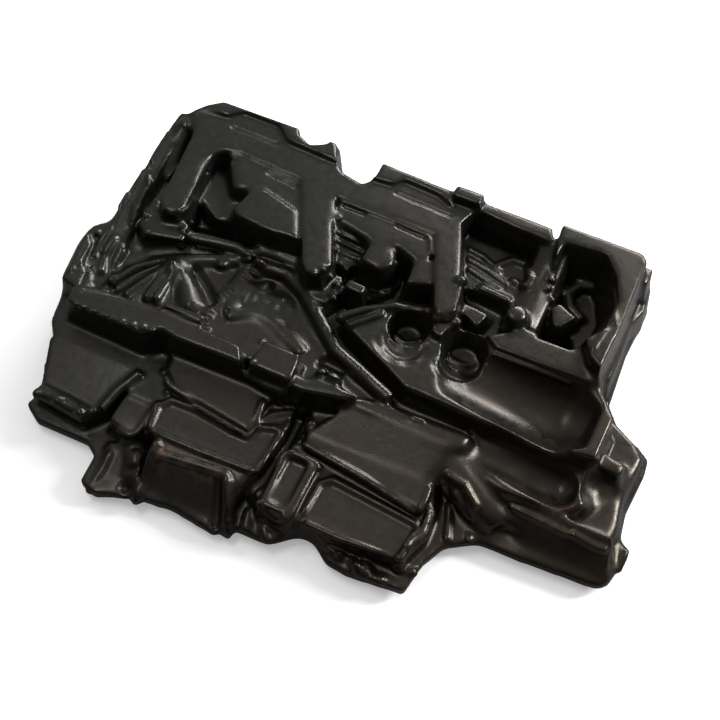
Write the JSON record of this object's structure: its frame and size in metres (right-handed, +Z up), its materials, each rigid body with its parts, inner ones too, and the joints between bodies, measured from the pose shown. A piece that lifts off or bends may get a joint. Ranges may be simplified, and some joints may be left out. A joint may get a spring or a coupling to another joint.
{
  "type": "engine cover",
  "caption": "Moulded foam engine cover lying engine side up: stepped decks, hose beds, troughs, bosses and pockets that fit over the engine, with a plain face below.",
  "frame": {"origin": "middle of the cover's outline box, on the surface that the plain outer face lies on", "axes": "+X along the long side, +Y towards the high back edge, +Z up out of the engine side"},
  "size_m": [0.636, 0.436, 0.119],
  "materials": {
    "foam_skin": "black moulded foam skin, satin, with rubbed brownish patches"
  },
  "bodies": {
    "root": {"engine_cover": "foam_skin"}
  },
  "joints": []
}
